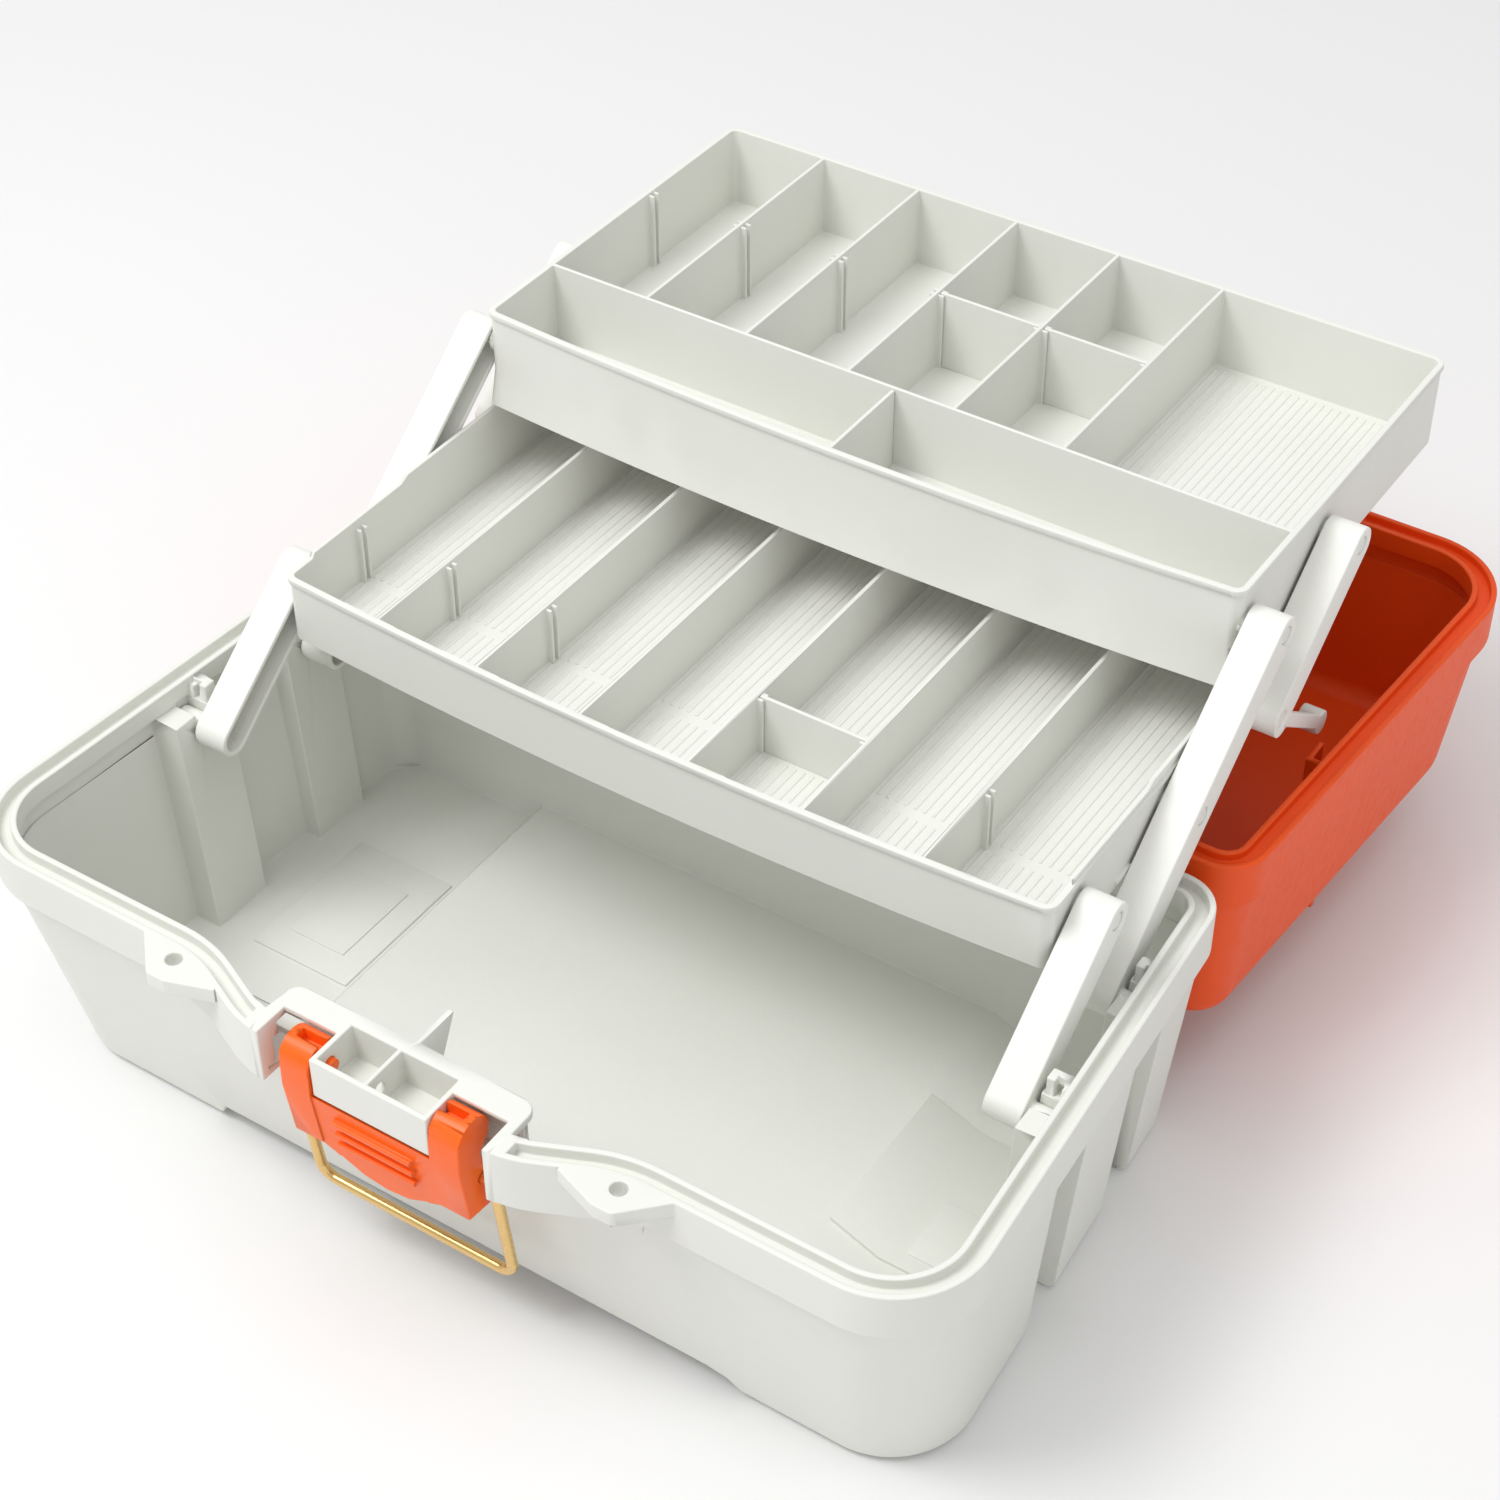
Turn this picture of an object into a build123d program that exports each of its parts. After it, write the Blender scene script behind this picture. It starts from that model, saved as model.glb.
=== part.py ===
from build123d import *
from math import cos, radians, sin
import os

# Two-tray fishing tackle box, standing open: the lid lies behind the tub, and two trays
# stand out over the back on parallel links.  Millimetres.  X runs along the box, +Y to the
# back, +Z up.  Z = 0 is the ground, X = 0 the middle of the box, and Y = 0 halfway between
# the latch at the front and the edge of the open lid at the back.

# ---- tub and lid outlines, at the rim -------------------------------------------------
RIM_Z = 104.0
FRONT_Y = -206.0
REAR_Y = -1.0
FRONT_HALF = 190.0
REAR_HALF = 177.5
FRONT_R = 32.0
REAR_R = 16.0
RIM_W = 9.0
RIM_RING_H = 8.0
BAND_H = 18.0
BAND_STEP = 2.5
GROOVE_IN = 2.2
GROOVE_W = 4.6
GROOVE_D = 4.0
HINGE_Y = 2.5

# ---- tub ------------------------------------------------------------------------------
TUB_WALL = 4.0
TUB_FRONT_DRAFT = 16.5
TUB_END_DRAFT = 8.0
TUB_REAR_DRAFT = 2.0
TUB_EDGE_R = 4.5
BELLY_Z = 8.0
BELLY_LEFT = -98.0
BELLY_RIGHT = 104.0

# ---- latch deck in the middle of the front rim ----------------------------------------
DECK_Y = -220.5
DECK_HALF = 50.0
DECK_SPREAD = 82.0
SWELL_R = 45.0
DECK_BACK = -197.0
DECK_SKIRT_Z = 82.0
DECK_CORNER_R = 5.0
BOX_HALF = 22.5
BOX_WALL = 2.0
BOX_BOTTOM_Z = 90.0
POCKET_OUT = 43.0
POCKET_BACK = -207.0
LUG_X = 85.5
LUG_Y = -210.3
LUG_HOLE_R = 2.75
LUG_H = 6.0

# ---- lid ------------------------------------------------------------------------------
LID_H = 74.0
LID_WALL = 1.8
LID_FLANGE = 1.5
LID_FRONT_DRAFT = 14.0
LID_END_DRAFT = 4.0
LID_EDGE_R = 9.0
CAM_RIB_Y = -77.0
CAM_RIB_Z = 96.0
NOTCH_Y = -33.0

# ---- trays and links ------------------------------------------------------------------
LINK = 64.0
LINK_SPACING = 57.0
OPEN_ANGLE = 38.5
BASE_PIVOT_Y = -107.3
PIVOT_Z = 89.4
TRAY_HALF = 150.0
TRAY_WALL = 1.6
TRAY_BEAD = 0.7
DIVIDER_T = 1.4
TRAY_DEPTH = 158.8
TRAY_BOW = 5.5
TRAY_CORNER_R = 4.0
UPPER_FRONT_Y = 44.0
UPPER_RIM_Z = 184.0
UPPER_BOTTOM_Z = 150.5
UPPER_SPLIT_Y = 81.8
LOWER_FRONT_Y = -74.3
LOWER_RIM_Z = 140.3
LOWER_BOTTOM_Z = 114.0
UPPER_WALLS = [-107.2 + 42.8 * i for i in range(5)]
UPPER_CROSS_Y = 144.8
FRONT_DIVIDER_X = -2.5
SKIRT_Z0 = 146.5
SKIRT_Z1 = 161.0
SKIRT_OUT = 3.6
LOWER_WALLS = [-109.2 + 42.9 * i for i in range(6)]
LOWER_CROSS_Y = -36.6
SLOT_HALF = 0.9
RIB_T = 1.2
RIB_OUT = 2.2
CLIP_Y = -26.2
CLIP_Z = 117.4
STUD_R = 3.0
RUN_GAP = 0.06
OPEN_GAP = 0.3

ARM_IN = 151.2
ARM_OUT = 164.6
ARM_H = 13.0
ARM_SKIN = 2.0
ARM_PIN_R = 4.0
ARM_PIN_END = 175.5
POST_IN = 166.0
POST_HALF = 13.0
POST_DRAFT = 5.5
POST_TOP_Z = 96.0
FOOT_LENGTH = 47.0
FOOT_R = 4.5
FOOT_ANGLE = -36.8

STEP_Y = LINK * cos(radians(OPEN_ANGLE))
STEP_Z = LINK * sin(radians(OPEN_ANGLE))
BASE_FRONT = (BASE_PIVOT_Y, PIVOT_Z)
BASE_REAR = (BASE_PIVOT_Y + LINK_SPACING, PIVOT_Z)
LOWER_FRONT = (BASE_FRONT[0] + STEP_Y, PIVOT_Z + STEP_Z)
LOWER_MID = (BASE_REAR[0] + STEP_Y, PIVOT_Z + STEP_Z)
LOWER_REAR = (LOWER_MID[0] + LINK_SPACING, PIVOT_Z + STEP_Z)
UPPER_FRONT = (LOWER_MID[0] + STEP_Y, PIVOT_Z + 2 * STEP_Z)
UPPER_REAR = (LOWER_REAR[0] + STEP_Y, PIVOT_Z + 2 * STEP_Z)

# ---- latch ----------------------------------------------------------------------------
LEVER_Y = -213.5
LEVER_Z = 97.0
LEVER_HEAD_R = 7.6
CHEEK_IN = 23.2
CHEEK_OUT = 34.6
LEVER_PIN_R = 2.4
PANEL_OUT = 9.2
PANEL_TOP = 87.4
LEVER_LEAN = 0.13
CHEEK_FOOT_Z = 64.5
PANEL_SET_BACK = 0.6
PANEL_CLEAR_R = 12.0
RIDGE_OUT = 1.4
BAIL_Y = -211.0
BAIL_Z = 77.5
BAIL_HALF = 38.6
BAIL_DROP = 50.0
BAIL_R = 1.9
BAIL_BEND = 6.0
BAIL_TIGHT = 3.0
BAIL_LEAN = 7.0
LID_DECK_Y = LEVER_Y - PANEL_OUT - RIDGE_OUT + 2 * HINGE_Y

# ---- lid hinges -----------------------------------------------------------------------
KNUCKLE_R = 3.1
KNUCKLE_LENGTH = 14.0
KNUCKLE_GAP = 0.5
HINGE_X = 112.0
HINGE_PIN_R = 1.5

# ---- carry handle, folded flat on the lid ---------------------------------------------
HANDLE_HALF = 62.0
HANDLE_REACH = 34.0
HANDLE_W = 13.0
HANDLE_T = 7.0
HANDLE_PIVOT_Y = -92.0
HANDLE_PIN_R = 3.0
HANDLE_PIN_LENGTH = 7.0
EAR_T = 8.0


def box(x0, x1, y0, y1, z0, z1):
    """A block between two corners."""
    return Pos((x0 + x1) / 2, (y0 + y1) / 2, (z0 + z1) / 2) * Box(x1 - x0, y1 - y0, z1 - z0)


def rod(x0, x1, y, z, r):
    """A round bar along X."""
    return Pos((x0 + x1) / 2, y, z) * Rot(0, 90, 0) * Cylinder(r, x1 - x0)


def side_profile(points, x0, x1):
    """An outline in Y and Z, given a width along X."""
    face = make_face(Polyline([(0, y, z) for y, z in points], close=True))
    return Pos(x0, 0, 0) * extrude(face, x1 - x0, dir=(1, 0, 0))


def front_profile(points, y0, y1):
    """An outline in X and Z, given a depth along Y."""
    face = make_face(Polyline([(x, 0, z) for x, z in points], close=True))
    return Pos(0, y0, 0) * extrude(face, y1 - y0, dir=(0, 1, 0))


def plan(front_half, rear_half, front, rear, r_front, r_rear):
    """The box's outline seen from above: a little wider at the front, with round corners."""
    corners = [(-front_half, front), (front_half, front), (rear_half, rear), (-rear_half, rear)]
    sketch = Polygon(*corners, align=None)
    sketch = fillet(sketch.vertices().sort_by(Axis.Y)[:2], r_front)
    return fillet(sketch.vertices().sort_by(Axis.Y)[-2:], r_rear)


def rim_plan(grow=0.0, deck_y=DECK_Y):
    """The rim's outline, with the swelling that carries the latch deck."""
    body = plan(FRONT_HALF + grow, REAR_HALF + grow, FRONT_Y - grow, REAR_Y, FRONT_R, REAR_R)
    deck = [
        (-DECK_SPREAD, FRONT_Y - grow),
        (-DECK_HALF, deck_y),
        (DECK_HALF, deck_y),
        (DECK_SPREAD, FRONT_Y - grow),
        (DECK_SPREAD, FRONT_Y + 20),
        (-DECK_SPREAD, FRONT_Y + 20),
    ]
    sketch = body + Polygon(*deck, align=None)
    bends = [v for v in sketch.vertices() if v.Y < FRONT_Y - grow + 0.01 and abs(v.X) < DECK_SPREAD + 1]
    return fillet(bends, SWELL_R)


def bowl(bottom, top, z0, z1, edge_r=0.0):
    """A drafted block between two outlines, with its lower edge rounded."""
    block = loft([Pos(0, 0, z0) * bottom.faces()[0], Pos(0, 0, z1) * top.faces()[0]], ruled=True)
    if edge_r:
        block = fillet(block.faces().sort_by(Axis.Z)[0].edges(), edge_r)
    return block


def ring(outline, outer_inset, inner_inset, z0, z1):
    """A band that follows an outline."""
    outer = offset(outline, -outer_inset) if outer_inset else outline
    inner = offset(outline, -inner_inset)
    return Pos(0, 0, z0) * extrude(outer - inner, z1 - z0)


def both_sides(piece):
    """A piece and its mirror image across the middle of the box."""
    return piece + mirror(piece, about=Plane.YZ)


# ---- tub ------------------------------------------------------------------------------
def tub_plan(inset, at_floor):
    """The tub wall's outline just under the rim band, or at the ground."""
    front = TUB_FRONT_DRAFT if at_floor else 0.0
    end = TUB_END_DRAFT if at_floor else 0.0
    rear = TUB_REAR_DRAFT if at_floor else 0.0
    edge = BAND_STEP + inset
    return plan(
        FRONT_HALF - edge - end,
        REAR_HALF - edge - end,
        FRONT_Y + edge + front,
        REAR_Y - edge - rear,
        FRONT_R - edge,
        REAR_R - edge,
    )


def end_posts():
    """Inward posts on the right end wall, hollow from outside, with a snap socket on each."""
    solid = None
    cuts = None
    for y, _ in (BASE_FRONT, BASE_REAR):
        face = [(POST_IN, POST_TOP_Z), (POST_IN - POST_DRAFT, 1), (180, 1), (180, POST_TOP_Z)]
        post = front_profile(face, y - POST_HALF, y + POST_HALF)
        strip = box(POST_IN + 1, POST_IN + 4, y + 4, y + 9, POST_TOP_Z - 1, POST_TOP_Z + 7)
        strip += box(POST_IN + 1, 182, y + 6, y + 9, POST_TOP_Z + 4, POST_TOP_Z + 7)
        tooth = box(POST_IN + 6.5, POST_IN + 9, y + 3.5, y + 7, POST_TOP_Z - 1, POST_TOP_Z + 5)
        socket = rod(POST_IN - 2, 176, y, PIVOT_Z, ARM_PIN_R + RUN_GAP)
        mouth = box(POST_IN - 2, 176, y - 3.2, y + 3.2, PIVOT_Z, POST_TOP_Z + 1)
        channel_face = [(POST_IN + 3.2, 79), (POST_IN + 3.2 - POST_DRAFT, -1), (200, -1), (200, 79)]
        groove = front_profile(channel_face, y - 10.5, y + 10.5)
        added = post + strip + tooth
        cut = socket + mouth + groove
        solid = added if solid is None else solid + added
        cuts = cut if cuts is None else cuts + cut
    return solid, cuts


def deck():
    """The latch deck: a small divided box, a plate, and a fin behind it."""
    plate = box(-DECK_HALF + 3, DECK_HALF - 3, DECK_Y + 4, DECK_BACK, RIM_Z - 3, RIM_Z)
    plate = fillet(plate.edges().filter_by(Axis.Z).sort_by(Axis.Y)[-2:], DECK_CORNER_R)
    half = DECK_HALF - 3 - DECK_CORNER_R
    back = box(-half, half, DECK_BACK - 2.2, DECK_BACK, DECK_SKIRT_Z, RIM_Z)
    body = box(-BOX_HALF, BOX_HALF, DECK_Y, DECK_BACK, BOX_BOTTOM_Z - 2, RIM_Z)
    fin = side_profile([(DECK_BACK - 1, RIM_Z), (DECK_BACK + 17, RIM_Z), (DECK_BACK - 1, 66)], 0, 1.8)
    return plate + back + body + fin


def deck_cuts():
    """The box's two cells, the pockets for the latch cheeks, and the lever pin's holes."""
    y0, y1 = DECK_Y + BOX_WALL, DECK_BACK - 5
    cells = box(-BOX_HALF + BOX_WALL, -2.6, y0, y1, BOX_BOTTOM_Z, RIM_Z + 1)
    cells += box(-1.0, BOX_HALF - BOX_WALL, y0, y1, BOX_BOTTOM_Z, RIM_Z + 1)
    under = box(-BOX_HALF - 0.1, BOX_HALF + 0.1, DECK_Y - 1, FRONT_Y + 1, 70, BOX_BOTTOM_Z - 2)
    pocket = box(BOX_HALF, POCKET_OUT, DECK_Y - 1, POCKET_BACK, 70, RIM_Z + 1)
    pocket += box(BOX_HALF, POCKET_OUT, POCKET_BACK - 1, POCKET_BACK + 3, 70, RIM_Z - 2)
    pin_holes = rod(-POCKET_OUT, POCKET_OUT, LEVER_Y, LEVER_Z, LEVER_PIN_R + RUN_GAP)
    return cells + under + both_sides(pocket) + pin_holes


def base_tub():
    outer = bowl(tub_plan(0, True), tub_plan(0, False), 0, RIM_Z - BAND_H + 2, TUB_EDGE_R)
    inner = bowl(tub_plan(TUB_WALL, True), tub_plan(TUB_WALL, False), 0, RIM_Z - RIM_RING_H + 0.1)
    belly = front_profile(
        [
            (BELLY_LEFT - 5, -1),
            (BELLY_LEFT, BELLY_Z),
            (BELLY_RIGHT - 4, BELLY_Z),
            (BELLY_RIGHT + 3, BELLY_Z - 1.5),
            (BELLY_RIGHT + 9, 2),
            (BELLY_RIGHT + 16, -1),
        ],
        -240,
        40,
    )
    floor = front_profile(
        [
            (-220, -5),
            (-220, TUB_WALL),
            (BELLY_LEFT - 4, TUB_WALL),
            (BELLY_LEFT + 2, BELLY_Z + TUB_WALL),
            (BELLY_RIGHT - 3, BELLY_Z + TUB_WALL),
            (BELLY_RIGHT + 17, TUB_WALL),
            (220, TUB_WALL),
            (220, -5),
        ],
        -240,
        40,
    )
    rim = rim_plan()
    band = ring(rim, 0, RIM_W, RIM_Z - RIM_RING_H, RIM_Z)
    band += ring(rim, 0, BAND_STEP + TUB_WALL, RIM_Z - BAND_H, RIM_Z - RIM_RING_H)
    swelling = rim & Pos(0, FRONT_Y - 5) * Rectangle(2 * DECK_SPREAD + 8, 22)
    skirt = ring(rim, 0, 3, DECK_SKIRT_Z, RIM_Z - BAND_H + 1) & box(-90, 90, -240, FRONT_Y + 1, 0, 120)
    ledge = Pos(0, 0, DECK_SKIRT_Z) * extrude(swelling, 2.6)
    ledge &= box(-90, 90, -240, FRONT_Y + 6, 0, 120)
    lug_points = [(104, FRONT_Y + 2), (89, -219.5), (82, -219.5), (66, FRONT_Y - 8), (66, FRONT_Y + 2)]
    lug_face = fillet(Polygon(*lug_points, align=None).vertices()[1:3], 3)
    lug = Pos(0, 0, RIM_Z - LUG_H) * extrude(lug_face, LUG_H, dir=(0, 0, 1))
    posts, post_cuts = end_posts()

    shell = outer - belly
    shell += both_sides(posts) & bowl(tub_plan(1, True), tub_plan(1, False), -1, RIM_Z)
    cavity = inner - floor
    shell -= cavity - both_sides(posts)
    shell += band + skirt + ledge + both_sides(lug) + deck()
    shell -= both_sides(post_cuts)
    shell -= deck_cuts()
    groove = ring(rim, GROOVE_IN, GROOVE_IN + GROOVE_W, RIM_Z - GROOVE_D, RIM_Z + 1)
    shell -= groove - box(-DECK_HALF, DECK_HALF, -240, -190, 0, 200)
    shell -= both_sides(Pos(LUG_X, LUG_Y, RIM_Z) * Cylinder(LUG_HOLE_R, 30))
    shell -= box(-POCKET_OUT, POCKET_OUT, -240, FRONT_Y - 1, 0, BOX_BOTTOM_Z - 2)
    return shell


# ---- lid ------------------------------------------------------------------------------
def lid_plan(inset, at_top):
    """The lid wall's outline beside the rim band, or at the lid's top."""
    front = LID_FRONT_DRAFT if at_top else 0.0
    end = LID_END_DRAFT if at_top else 0.0
    edge = BAND_STEP + inset - LID_FLANGE
    return plan(
        FRONT_HALF - edge - end,
        REAR_HALF - edge - end,
        FRONT_Y + edge + front,
        REAR_Y - inset,
        FRONT_R - edge,
        REAR_R - edge,
    )


def open_over(piece):
    """Turn a piece drawn below the rim plane, in the tub's plan, over to the open lid's place."""
    return mirror(piece, about=Plane.XZ.offset(-HINGE_Y))


def lid_cam_rib():
    """The corner rib inside the lid that meets the foot on the upper arm."""
    web = box(POST_IN, 184, CAM_RIB_Y, CAM_RIB_Y + 2, RIM_Z - LID_H + 1, CAM_RIB_Z)
    leg = box(POST_IN, POST_IN + 2, CAM_RIB_Y - 9, CAM_RIB_Y + 2, RIM_Z - LID_H + 1, CAM_RIB_Z)
    return web + leg


def lid_shell():
    top_z = RIM_Z - LID_H
    outer = bowl(lid_plan(0, True), lid_plan(0, False), top_z, RIM_Z - BAND_H + 2, LID_EDGE_R)
    inner = bowl(
        lid_plan(LID_WALL, True),
        lid_plan(LID_WALL, False),
        top_z + LID_WALL,
        RIM_Z - RIM_RING_H + 0.1,
        LID_EDGE_R - LID_WALL,
    )
    rim = rim_plan(LID_FLANGE, LID_DECK_Y)
    band = ring(rim, 0, RIM_W, RIM_Z - RIM_RING_H, RIM_Z)
    band += ring(rim, 0, BAND_STEP + LID_WALL, RIM_Z - BAND_H, RIM_Z - RIM_RING_H)
    ledge = rim & Pos(0, FRONT_Y - 5) * Rectangle(2 * DECK_SPREAD + 8, 22)
    catch = Pos(0, 0, RIM_Z - BAND_H) * extrude(ledge, 2.4)
    deck_plate = box(-DECK_HALF + 3, DECK_HALF - 3, DECK_Y + 4, DECK_BACK, RIM_Z - 3, RIM_Z)
    keeper = box(-BOX_HALF, BOX_HALF, DECK_Y + 6, DECK_BACK, RIM_Z - 12, RIM_Z)
    keeper -= box(-BOX_HALF + 2, BOX_HALF - 2, DECK_Y + 8, DECK_BACK - 2, RIM_Z - 10, RIM_Z + 1)

    shell = outer - inner
    shell += band + catch + deck_plate + keeper
    shell += both_sides(lid_cam_rib() & bowl(lid_plan(1, True), lid_plan(1, False), top_z, RIM_Z))
    groove = ring(rim, GROOVE_IN, GROOVE_IN + GROOVE_W, RIM_Z - 3, RIM_Z + 1)
    shell -= groove - box(-DECK_HALF, DECK_HALF, -240, -190, 0, 200)
    shell -= both_sides(box(BOX_HALF + 0.5, 36.5, -240, POCKET_BACK, RIM_Z - 5, RIM_Z + 1))
    shell += both_sides(box(150, 190, NOTCH_Y - 5.5, NOTCH_Y + 5.5, top_z, top_z + 6)) & outer
    shell -= both_sides(box(152, 200, NOTCH_Y - 3.5, NOTCH_Y + 3.5, top_z - 1, top_z + 4))
    shell += both_sides(handle_ear())
    for x in (-HINGE_X, HINGE_X):
        shell += knuckle(x, KNUCKLE_LENGTH, REAR_Y - 3)
        shell -= rod(x - 40, x + 40, HINGE_Y, RIM_Z, HINGE_PIN_R + RUN_GAP)
    return open_over(shell)


# ---- lid hinges -----------------------------------------------------------------------
def knuckle(x, length, root_y):
    """A hinge knuckle with its web, drawn on the tub's side of the hinge line."""
    barrel = rod(x - length / 2, x + length / 2, HINGE_Y, RIM_Z, KNUCKLE_R)
    web = box(x - length / 2, x + length / 2, root_y, HINGE_Y, RIM_Z - KNUCKLE_R, RIM_Z)
    return barrel + web


def tub_knuckles():
    """Two knuckles on the tub at each hinge, one each side of the lid's."""
    solid = None
    for x in (-HINGE_X, HINGE_X):
        for side in (-1, 1):
            centre = x + side * (KNUCKLE_LENGTH + KNUCKLE_GAP)
            piece = knuckle(centre, KNUCKLE_LENGTH, REAR_Y - 3)
            solid = piece if solid is None else solid + piece
    for x in (-HINGE_X, HINGE_X):
        solid -= rod(x - 40, x + 40, HINGE_Y, RIM_Z, HINGE_PIN_R)
    return solid


def hinge_pin(x):
    length = 3 * KNUCKLE_LENGTH + 2 * KNUCKLE_GAP
    return rod(x - length / 2, x + length / 2, HINGE_Y, RIM_Z, HINGE_PIN_R)


# ---- carry handle ---------------------------------------------------------------------
def handle_ear():
    """The ear on the lid's top that holds one end of the handle."""
    x = HANDLE_HALF + 0.6
    top_z = RIM_Z - LID_H
    ear = box(x, x + EAR_T, HANDLE_PIVOT_Y - 7, HANDLE_PIVOT_Y + 7, top_z - HANDLE_T - 1.5, top_z + 1)
    bore = rod(x - 1, x + EAR_T + 1, HANDLE_PIVOT_Y, handle_pivot_z(), HANDLE_PIN_R + RUN_GAP)
    return ear - bore


def handle_pivot_z():
    return RIM_Z - LID_H - 0.6 - HANDLE_T / 2


def carry_handle():
    """A strap handle: two arms and a grip, with a pin at each end."""
    back = HANDLE_PIVOT_Y + HANDLE_T / 2
    front = HANDLE_PIVOT_Y - HANDLE_REACH
    z0 = handle_pivot_z() - HANDLE_T / 2
    outline = Polygon(
        (-HANDLE_HALF, back),
        (-HANDLE_HALF, front + 10),
        (-HANDLE_HALF + 12, front - HANDLE_W),
        (HANDLE_HALF - 12, front - HANDLE_W),
        (HANDLE_HALF, front + 10),
        (HANDLE_HALF, back),
        (HANDLE_HALF - 11, back),
        (HANDLE_HALF - 11, front + 8),
        (HANDLE_HALF - 18, front),
        (-HANDLE_HALF + 18, front),
        (-HANDLE_HALF + 11, front + 8),
        (-HANDLE_HALF + 11, back),
        align=None,
    )
    corners = [v for v in outline.vertices() if v.Y < back - 1]
    strap = Pos(0, 0, z0) * extrude(fillet(corners, 5), HANDLE_T)
    long_edges = [e for e in strap.edges().filter_by(Axis.X) if abs(e.length) > 60]
    strap = fillet(long_edges, 2.4)
    strap = fillet([e for e in strap.edges().filter_by(Axis.X) if e.center().Y > back - 0.1], 3.3)
    pins = both_sides(
        rod(HANDLE_HALF - 1, HANDLE_HALF + HANDLE_PIN_LENGTH, HANDLE_PIVOT_Y, handle_pivot_z(), HANDLE_PIN_R)
    )
    return open_over(strap + pins)


# ---- trays ----------------------------------------------------------------------------
def tray_plan(front, inset=0.0, depth=TRAY_DEPTH):
    """A tray's outline: square, with a front that bows forward."""
    half = TRAY_HALF - inset
    near = front + inset
    far = front + depth - inset
    edges = [
        Line((-half, near), (-half, far)),
        Line((-half, far), (half, far)),
        Line((half, far), (half, near)),
        ThreePointArc((half, near), (0, near - TRAY_BOW), (-half, near)),
    ]
    return fillet(make_face(edges).vertices(), TRAY_CORNER_R - inset)


def tray_bow(y, x):
    """How far the bowed front stands forward of its corners at one x."""
    return y - TRAY_BOW * (1 - (x / TRAY_HALF) ** 2)


def tray_body(front, bottom, rim):
    """A tray's outer walls and floor, with a small bead along its rim."""
    outer = Pos(0, 0, bottom) * extrude(tray_plan(front), rim - bottom)
    bead = Pos(0, 0, rim - 2.2) * extrude(offset(tray_plan(front), TRAY_BEAD), 2.2)
    inner = Pos(0, 0, bottom + TRAY_WALL) * extrude(tray_plan(front, TRAY_WALL), rim)
    return outer + bead - inner


def slot_ribs(x, y, z0, z1, side):
    """A pair of small upright ribs on a wall at x, which hold the end of a loose divider."""
    ribs = None
    near, far = sorted((x, x + side * RIB_OUT))
    for dy in (-SLOT_HALF - RIB_T, SLOT_HALF):
        rib = box(near, far, y + dy, y + dy + RIB_T, z0, z1)
        ribs = rib if ribs is None else ribs + rib
    return ribs


def studs(points):
    """Pivot studs on both ends of a tray."""
    solid = None
    for y, z in points:
        stud = rod(TRAY_HALF - 1, ARM_OUT - 0.6, y, z, STUD_R) + rod(TRAY_HALF - 1, TRAY_HALF + 0.8, y, z, 5)
        solid = stud if solid is None else solid + stud
    return both_sides(solid)


def cross_divider(x0, x1, y, z0, z1):
    """A loose divider plate between two walls."""
    return box(x0 + 0.25, x1 - 0.25, y - DIVIDER_T / 2, y + DIVIDER_T / 2, z0, z1)


def upper_tray():
    tray = tray_body(UPPER_FRONT_Y, UPPER_BOTTOM_Z, UPPER_RIM_Z)
    z0, z1 = UPPER_BOTTOM_Z + 0.5, UPPER_RIM_Z
    back = UPPER_FRONT_Y + TRAY_DEPTH - 0.8
    tray += box(-TRAY_HALF + 1, TRAY_HALF - 1, UPPER_SPLIT_Y, UPPER_SPLIT_Y + DIVIDER_T, z0, z1)
    for x in UPPER_WALLS:
        tray += box(x - DIVIDER_T / 2, x + DIVIDER_T / 2, UPPER_SPLIT_Y, back, z0, z1)
    for i in range(1, 4):
        wall = UPPER_WALLS[i - 1]
        tray += slot_ribs(wall + 0.5 * DIVIDER_T, UPPER_CROSS_Y, z0, z1 - 1, 1)
        tray += slot_ribs(wall - 0.5 * DIVIDER_T, UPPER_CROSS_Y, z0, z1 - 1, -1)
    tray += slot_ribs(-TRAY_HALF + TRAY_WALL, UPPER_CROSS_Y, z0, z1 - 1, 1)
    for wall, side in ((UPPER_WALLS[3], -1), (UPPER_WALLS[3], 1), (UPPER_WALLS[4], -1)):
        tray += slot_ribs(wall + side * 0.5 * DIVIDER_T, UPPER_CROSS_Y, z0, z1 - 1, side)
    strips = [skirt_strip(UPPER_FRONT_Y - SKIRT_OUT, SKIRT_Z0), skirt_strip(UPPER_FRONT_Y, SKIRT_Z1)]
    tray += loft(strips, ruled=True)
    return tray + studs((UPPER_FRONT, UPPER_REAR))


def skirt_strip(y, z):
    """One edge of the flared skirt below the upper tray's front."""
    half = TRAY_HALF - 2
    edges = [
        ThreePointArc((-half, y), (0, y - TRAY_BOW), (half, y)),
        Line((half, y), (half, y + TRAY_WALL)),
        ThreePointArc((half, y + TRAY_WALL), (0, y + TRAY_WALL - TRAY_BOW), (-half, y + TRAY_WALL)),
        Line((-half, y + TRAY_WALL), (-half, y)),
    ]
    return Pos(0, 0, z) * make_face(edges).faces()[0]


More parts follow.
